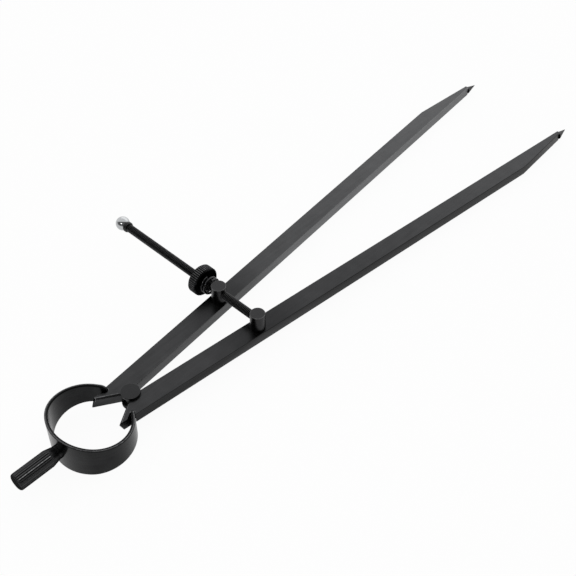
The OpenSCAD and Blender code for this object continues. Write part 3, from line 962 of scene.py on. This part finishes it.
class DIVIDERS_OT_handle(BuildOperator):
    """Builds the fluted handle with its neck and riveted tenon"""

    bl_idname = "dividers.handle"
    bl_label = "Handle"

    # How worn the end and the crests are, and how dark the painted shade in the flutes is
    end_wear, crest_wear, flute_soil = 0.1, 0.2, -0.4

    def outline(self):
        """Radius and height of the rivet, neck, cone and grip."""
        handle = settings().handle
        neck, grip, rivet = handle.neck / 2, handle.diameter / 2, handle.rivet / 2
        inside = -settings().bow.thickness
        past_cone = handle.neck_length + handle.cone + 0.0004
        points = [(0, inside - handle.rivet_height), (rivet, inside - handle.rivet_height), (rivet, inside),
                  (neck, inside / 2), (neck, handle.neck_length)]
        cone_steps = 10
        for step in range(1, cone_steps + 1):
            share = step / cone_steps
            points.append((neck + (grip - neck) * share, handle.neck_length + handle.cone * share))
        points += [(grip, past_cone), (grip, handle.length - 2 * handle.end_radius), (grip, handle.length),
                   (0, handle.length)]
        return points

    def build(self):
        handle = settings().handle
        bm = new_mesh()
        turn_outline(bm, self.outline(), steps=handle.flutes * GROOVE_STEPS)
        end = sharp_edges(bm, 60, lambda spot: spot.z > handle.neck_length + handle.cone)
        break_edges(bm, end, handle.end_radius, segments=5)
        head = -settings().bow.thickness - handle.rivet_height / 2
        break_edges(bm, sharp_edges(bm, 60, lambda spot: spot.z < head), handle.rivet_height * RIVET_ROUND,
                    segments=3)
        cut_grooves(bm, handle.flutes, handle.diameter / 2, handle.flute_width, handle.neck_length)
        wear = bm.verts.layers.float[WEAR]
        # Crests near that flute keep full wear, a painted highlight; flute bottoms get painted shade.
        for vert in bm.verts:
            off = abs(math.atan2(vert.co.y, vert.co.x) - handle.rubbed_flute)
            if vert.co.z > handle.length - MERGE:
                vert[wear] = self.end_wear
            elif vert[wear] < 0:
                vert[wear] = self.flute_soil
            elif vert[wear] > 0 and off * handle.flutes > math.pi:
                vert[wear] = self.crest_wear
        clean(bm)
        move(bm, on_handle())
        finish = turned_steel("handle_steel", "handle", on_handle(), cloud=0.2, wear=1.0,
                              brushed=0.3, glare=0.25)
        piece = add_piece(bm, "handle_grip", [finish], smooth=30)
        carry(piece, "frame", "black_steel", "handle")


class DIVIDERS_OT_posts(BuildOperator):
    """Builds the two posts that turn in the legs and carry the screw"""

    bl_idname = "dividers.posts"
    bl_label = "Posts"

    def build(self):
        legs, posts, screw = settings().legs, settings().posts, settings().screw
        foot = -legs.thickness - posts.washer_thickness - 3 * posts.clearance
        top = posts.height - posts.clearance
        low = foot - posts.rivet_height
        radius, stem, rivet = posts.diameter / 2, posts.stem / 2, posts.rivet / 2
        outline = [(0, top), (radius, top), (radius, 0), (stem, 0), (stem, foot), (rivet, foot), (rivet, low),
                   (0, low)]
        for name, side in SIDES.items():
            bm = new_mesh()
            turn_outline(bm, outline, steps=96)
            break_edges(bm, sharp_edges(bm, where=lambda spot: spot.z > top / 2), posts.edge)
            head = sharp_edges(bm, where=lambda spot: spot.z < (foot + low) / 2)
            break_edges(bm, head, posts.rivet_height * RIVET_ROUND, segments=3)
            move(bm, on_post(side) @ Matrix.Translation((0, 0, posts.clearance)))
            finish = turned_steel(name + "_post_steel", "post", on_post(side))
            piece = add_piece(bm, name + "_post_turned", [finish])
            if side > 0:
                bore(piece, on_screw(side), posts.hole / 2, -posts.diameter, posts.diameter)
            else:
                bore(piece, on_screw(side), screw.diameter / 2, 0, posts.diameter)
            carry(piece, name + "_post", "dark_steel", name + "_post")


class DIVIDERS_OT_washers(BuildOperator):
    """Builds the washers below the legs"""

    bl_idname = "dividers.washers"
    bl_label = "Post washers"

    def build(self):
        legs, posts = settings().legs, settings().posts
        top = -legs.thickness - posts.clearance
        low = top - posts.washer_thickness
        stem, rim = posts.stem / 2, posts.washer / 2
        ring = [(stem, low), (rim, low), (rim, top), (stem, top), (stem, low)]
        for name, side in SIDES.items():
            bm = new_mesh()
            turn_outline(bm, ring, steps=72)
            rims = sharp_edges(bm, where=lambda spot: spot.xy.length > (stem + rim) / 2)
            break_edges(bm, rims, posts.washer_thickness / 6)
            move(bm, on_post(side))
            finish = turned_steel(name + "_washer_steel", "grey", on_post(side), roughness=0.34)
            piece = add_piece(bm, name + "_washer_ring", [finish])
            carry(piece, name + "_post", "grey_steel", name + "_post_washer")


class DIVIDERS_OT_screw(BuildOperator):
    """Builds the screw with its helical thread"""

    bl_idname = "dividers.screw"
    bl_label = "Adjusting screw"

    def build(self):
        screw, posts = settings().screw, settings().posts
        per_turn = 20
        in_post, in_collar = 1.5 * screw.pitch, 0.5 * screw.pitch
        low = posts.diameter / 2 - in_post
        turns = math.ceil((along_screw()["collar"] + in_collar - low) / screw.pitch) - 1
        crest = screw.diameter / 2
        root = crest - screw.pitch / 2
        rise, crest_start, crest_end, crest_wear = 0.10, 0.46, 0.62, 0.5
        tooth = [(root, 0), (root, rise), (crest, crest_start), (crest, crest_end), (root, 1.0)]
        bm = new_mesh()
        wear = bm.verts.layers.float[WEAR]
        verts = [bm.verts.new((radius, 0, low + share * screw.pitch)) for radius, share in tooth]
        for vert in verts[2:4]:
            vert[wear] = crest_wear
        edges = [bm.edges.new(pair) for pair in zip(verts, verts[1:])]
        bmesh.ops.spin(bm, geom=verts + edges, cent=(0, 0, 0), axis=(0, 0, 1),
                       dvec=(0, 0, screw.pitch / per_turn), angle=FULL_TURN * turns, steps=per_turn * turns)
        bmesh.ops.remove_doubles(bm, verts=bm.verts[:], dist=screw.pitch / 200)
        rims = [edge for edge in bm.edges if edge.is_boundary]
        ends = bmesh.ops.holes_fill(bm, edges=rims, sides=0)["faces"]
        bmesh.ops.poke(bm, faces=ends)
        bmesh.ops.recalc_face_normals(bm, faces=bm.faces[:])
        move(bm, on_screw(-1))
        finish = turned_steel("screw_steel", "dark", on_screw(-1), cloud=0.2, wear=0.25,
                              brushed=0.3)
        piece = add_piece(bm, "screw_thread", [finish], smooth=35)
        carry(piece, "right_post", "dark_steel", "adjusting_screw", even=False)


class DIVIDERS_OT_collar(BuildOperator):
    """Builds the collar that stops the nut"""

    bl_idname = "dividers.collar"
    bl_label = "Stop collar"

    def build(self):
        screw = settings().screw
        low, high = along_screw()["collar"], along_screw()["ball"]
        rim = screw.collar / 2
        bm = new_mesh()
        turn_outline(bm, [(0, low), (rim, low), (rim, high), (0, high)], steps=72)
        break_edges(bm, sharp_edges(bm), screw.collar_thickness / 4)
        move(bm, on_screw(-1))
        finish = turned_steel("collar_steel", "dark", on_screw(-1), wear=0.15)
        piece = add_piece(bm, "collar_ring", [finish])
        carry(piece, "right_post", "dark_steel", "stop_collar")


class DIVIDERS_OT_ball(BuildOperator):
    """Builds the bright ball on the screw's end"""

    bl_idname = "dividers.ball"
    bl_label = "Ball end"

    def build(self):
        screw = settings().screw
        bm = new_mesh()
        bmesh.ops.create_uvsphere(bm, u_segments=64, v_segments=48, radius=screw.ball / 2,
                                  matrix=Matrix.Translation((0, 0, screw.reach)))
        cut_off(bm, (0, 0, along_screw()["ball"]), (0, 0, -1))
        move(bm, on_screw(-1))
        finish = turned_steel("ball_chrome", "chrome", on_screw(-1), roughness=0.09, cloud=0.04,
                              wear=0.0, brushed=0.05)
        piece = add_piece(bm, "ball_knob", [finish], smooth=30)
        carry(piece, "right_post", "chrome", "ball_end", even=False)


class DIVIDERS_OT_nut(BuildOperator):
    """Builds the knurled nut"""

    bl_idname = "dividers.nut"
    bl_label = "Adjusting nut"

    def build(self):
        screw, posts = settings().screw, settings().posts
        low = along_screw()["nut"]
        high = low + screw.nut_thickness
        rim, edge = screw.nut / 2, screw.nut_edge
        bore_radius = screw.diameter / 2 + posts.clearance
        recess, channel, spring = screw.nut_recess / 2, screw.nut_channel / 2, screw.spring / 2
        floor, sunk = high - screw.nut_recess_depth, low + screw.nut_recess_depth
        outline = [(bore_radius, low), (spring, low), (spring, sunk), (channel, sunk), (channel, low),
                   (rim - edge, low)]
        chamfer_steps = 4
        chamfer = [edge * step / chamfer_steps for step in range(chamfer_steps + 1)]
        outline += [(rim - edge + rise, low + rise) for rise in chamfer[1:]]
        outline += [(rim - rise, high - edge + rise) for rise in chamfer]
        outline += [(recess, high), (recess, floor), (bore_radius, floor), (bore_radius, low)]
        bm = new_mesh()
        turn_outline(bm, outline, steps=screw.nut_grooves * GROOVE_STEPS)
        cut_grooves(bm, screw.nut_grooves, rim, screw.groove_width, 0)
        clean(bm)
        move(bm, on_screw(1))
        finish = turned_steel("nut_steel", "nut", on_screw(1), roughness=0.22, wear=0.33,
                              brushed=0.4, glare=0.5)
        piece = add_piece(bm, "nut_knurled", [finish], smooth=30)
        carry(piece, "nut", "dark_steel", "adjusting_nut")


class DIVIDERS_OT_nut_spring(BuildOperator):
    """Builds the short coil spring between the nut and its post"""

    bl_idname = "dividers.nut_spring"
    bl_label = "Nut spring"

    def build(self):
        screw = settings().screw
        per_turn = 48
        rise = (screw.wire + screw.turn_gap) / per_turn
        centre = Vector(((screw.spring - screw.wire) / 2, 0, along_screw()["spring"] + screw.wire / 2))
        stand = Matrix.Translation(centre) @ Matrix.Rotation(QUARTER_TURN, 4, "X")
        bm = new_mesh()
        bmesh.ops.create_circle(bm, cap_ends=True, segments=16, radius=screw.wire / 2, matrix=stand)
        bmesh.ops.spin(bm, geom=everything(bm), cent=(0, 0, 0), axis=(0, 0, 1), dvec=(0, 0, rise),
                       angle=FULL_TURN * screw.spring_turns, steps=per_turn * screw.spring_turns)
        clean(bm)
        break_edges(bm, sharp_edges(bm, 60), screw.wire / 6)
        move(bm, on_screw(1) @ Matrix.Rotation(-QUARTER_TURN, 4, "Z"))
        finish = turned_steel("spring_wire", "wire", on_screw(1), roughness=0.16, cloud=0.14,
                              wear=0.4, brushed=0.2)
        piece = add_piece(bm, "nut_spring_coil", [finish])
        carry(piece, "left_post", "grey_steel", "nut_spring", even=False)


class DIVIDERS_OT_stage(BuildOperator):
    """Sets up the floor, the light and the camera"""

    bl_idname = "dividers.stage"
    bl_label = "Stage"

    def floor(self):
        """A pale floor that touches the bow's back and the legs' ends."""
        bow, legs, stage = settings().bow, settings().legs, settings().stage
        back = Vector((-bow.back_distance, 0, LEG_MID_Z - bow.back_height / 2))
        end = Vector((legs.length - settings().points.length, 0, LEG_LOW.z))
        tilt = Matrix.Rotation(-math.atan2(end.z - back.z, end.x - back.x), 4, "Y")
        bm = bmesh.new()
        bmesh.ops.create_circle(bm, cap_ends=True, segments=96, radius=4.0,
                                matrix=Matrix.Translation(back) @ tilt)
        floor = place_object("floor", mesh_of(bm, "floor"))
        finish = new_finish("floor_paper")
        direct, through, mirrored = [finish.node("ShaderNodeLightPath", None, None, "Is " + ray + " Ray")
                                     for ray in ("Camera", "Transmission", "Glossy")]
        paper = finish.node("ShaderNodeBsdfDiffuse", None, {"Color": rgba(stage.floor)})
        white = finish.node("ShaderNodeEmission", None, {"Color": WHITE, "Strength": 1.0})
        share = (direct + through) * stage.paper_glow + mirrored * stage.paper_shine
        mixed = finish.node("ShaderNodeMixShader", None, {0: share, 1: paper, 2: white})
        finish.node("ShaderNodeOutputMaterial", None, {"Surface": mixed})
        floor.data.materials.append(finish.owner)

    def room(self):
        """A pale room with a bright panel on the far side, dim where the photographer stands."""
        stage = settings().stage
        wall_top, panel_blur, dim_start, dim_end = 0.3, 0.05, -0.1, 0.4
        world = bpy.data.worlds.new("pale_room")
        bpy.context.scene.world = world
        finish = Finish(world)
        heading = finish.node("ShaderNodeTexCoord", None, None, 0)
        height = finish.node("ShaderNodeSeparateXYZ", None, {0: heading}, 2)
        level = finish.between(height, wall_top, 1.0, stage.horizon, stage.zenith)

        def facing(way, rise):
            towards = Vector((-way * math.sin(stage.azimuth), way * math.cos(stage.azimuth), math.tan(rise)))
            return finish.node("ShaderNodeVectorMath", {"operation": "DOT_PRODUCT"},
                               {0: heading, 1: towards.normalized()}, "Value")

        edge = math.cos(stage.panel_reach)
        lit = finish.between(facing(1, stage.panel_rise), edge - panel_blur, edge + panel_blur)
        shade = finish.between(facing(-1, stage.elevation), dim_start, dim_end, stage.sides, stage.behind)
        light = level * (shade + lit * (1.0 - shade))
        glow = finish.node("ShaderNodeBackground", None, {"Color": WHITE, "Strength": light})
        finish.node("ShaderNodeOutputWorld", None, {"Surface": glow})

    def softbox(self, name, power, azimuth, elevation, distance, width, height):
        """A lamp that is aimed at the middle of the dividers, and that the camera does not see."""
        aim = Vector((0.13, 0, 0))
        turn, rise = math.radians(azimuth), math.radians(elevation)
        heading = Vector((math.cos(turn) * math.cos(rise), math.sin(turn) * math.cos(rise), math.sin(rise)))
        lamp = bpy.data.lights.new(name, "AREA")
        lamp.shape = "RECTANGLE"
        lamp.size, lamp.size_y = width, height
        lamp.energy = power
        box = place_object(name, lamp)
        box.matrix_world = (Matrix.Translation(aim + heading * distance)
                            @ heading.to_track_quat("Z", "Y").to_matrix().to_4x4())
        box.visible_camera = False

    def camera(self):
        stage = settings().stage
        turn, rise, roll = stage.azimuth, stage.elevation, stage.roll
        right = Vector((math.cos(turn), math.sin(turn), 0))
        back = Vector((math.sin(turn) * math.cos(rise), -math.cos(turn) * math.cos(rise), math.sin(rise)))
        up = back.cross(right)
        rolled = right * math.cos(roll) + up * math.sin(roll)
        axes = Matrix((rolled, back.cross(rolled), back)).transposed().to_4x4()
        eye = bpy.data.cameras.new("camera")
        eye.lens = stage.lens
        eye.sensor_width = 36.0
        eye.clip_start, eye.clip_end = 0.01, 20.0
        camera = place_object("camera", eye)
        camera.matrix_world = Matrix.Translation(stage.camera) @ axes
        bpy.context.scene.camera = camera

    def build(self):
        self.floor()
        self.room()
        self.softbox("far_softbox", settings().stage.softbox, azimuth=25, elevation=30, distance=1.2,
                     width=1.8, height=1.1)
        self.softbox("near_lamp", settings().stage.near_lamp, azimuth=195, elevation=36, distance=0.8,
                     width=0.17, height=0.17)
        self.camera()
        bpy.context.scene.view_settings.view_transform = "Standard"


BUILDERS = (
    DIVIDERS_OT_legs, DIVIDERS_OT_points, DIVIDERS_OT_stud, DIVIDERS_OT_bow, DIVIDERS_OT_handle,
    DIVIDERS_OT_posts, DIVIDERS_OT_washers, DIVIDERS_OT_screw, DIVIDERS_OT_collar, DIVIDERS_OT_ball,
    DIVIDERS_OT_nut, DIVIDERS_OT_nut_spring, DIVIDERS_OT_stage,
)


class DIVIDERS_PT_panel(bpy.types.Panel):
    """Lists the settings and the operators"""

    bl_idname = "DIVIDERS_PT_panel"
    bl_label = "Spring Dividers"
    bl_space_type = "VIEW_3D"
    bl_region_type = "UI"
    bl_category = "Dividers"

    def draw(self, context):
        for group in context.scene.dividers.bl_rna.properties.keys()[2:]:
            box = self.layout.box()
            box.label(text=group.capitalize())
            values = getattr(context.scene.dividers, group)
            for name in values.bl_rna.properties.keys()[2:]:
                box.prop(values, name)
        for builder in BUILDERS:
            self.layout.operator(builder.bl_idname)


CLASSES = (
    LegSizes, PointSizes, StudSizes, BowSizes, HandleSizes, PostSizes, ScrewSizes, FinishTones, StageSettings,
    DividersSettings, *BUILDERS, DIVIDERS_PT_panel,
)


def register():
    for each in CLASSES:
        bpy.utils.register_class(each)
    bpy.types.Scene.dividers = PointerProperty(type=DividersSettings)


def unregister():
    del bpy.types.Scene.dividers
    for each in reversed(CLASSES):
        bpy.utils.unregister_class(each)


def main():
    register()
    for builder in BUILDERS:
        getattr(bpy.ops.dividers, builder.bl_idname.split(".")[1])()


if __name__ == "__main__":
    main()
